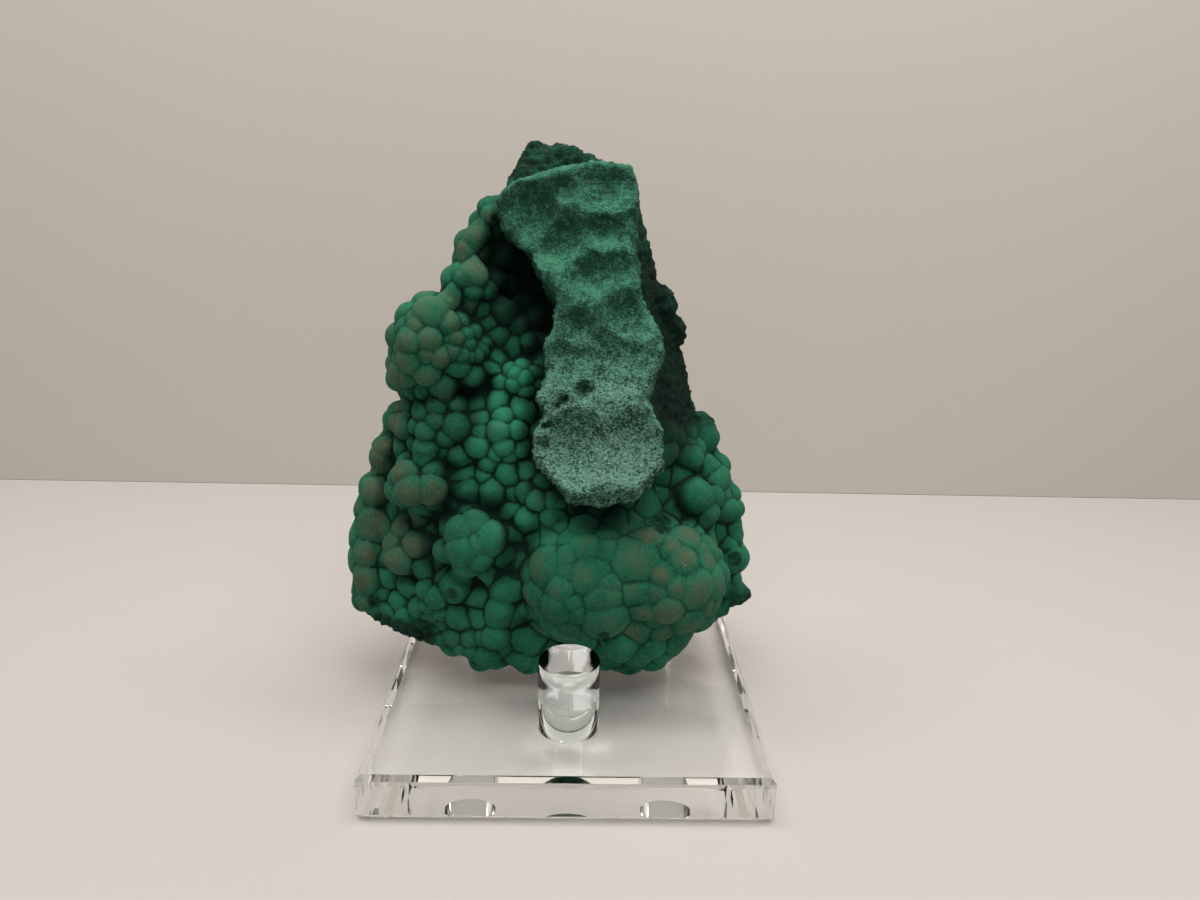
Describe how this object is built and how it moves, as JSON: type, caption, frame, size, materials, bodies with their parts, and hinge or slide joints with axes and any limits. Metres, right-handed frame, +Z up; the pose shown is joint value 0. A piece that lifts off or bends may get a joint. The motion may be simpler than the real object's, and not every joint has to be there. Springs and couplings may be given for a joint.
{
  "type": "malachite specimen",
  "caption": "Botryoidal malachite with a broken fibrous face, leaning on the pegs of a square clear acrylic display stand.",
  "frame": {"origin": "middle of the underside of the square base plate", "axes": "+Z up, +X to the right of someone facing the broken face, +Y away from them; the plate's sides run along X and Y"},
  "size_m": [0.1197, 0.1016, 0.1589],
  "materials": {
    "malachite": "matte, velvety green with brown stains and a grainy mint broken face",
    "clear_acrylic": "polished clear acrylic"
  },
  "bodies": {
    "root": {"malachite": "malachite", "base_plate": "clear_acrylic", "front_peg": "clear_acrylic", "rear_peg_left": "clear_acrylic", "rear_peg_right": "clear_acrylic"}
  },
  "joints": []
}
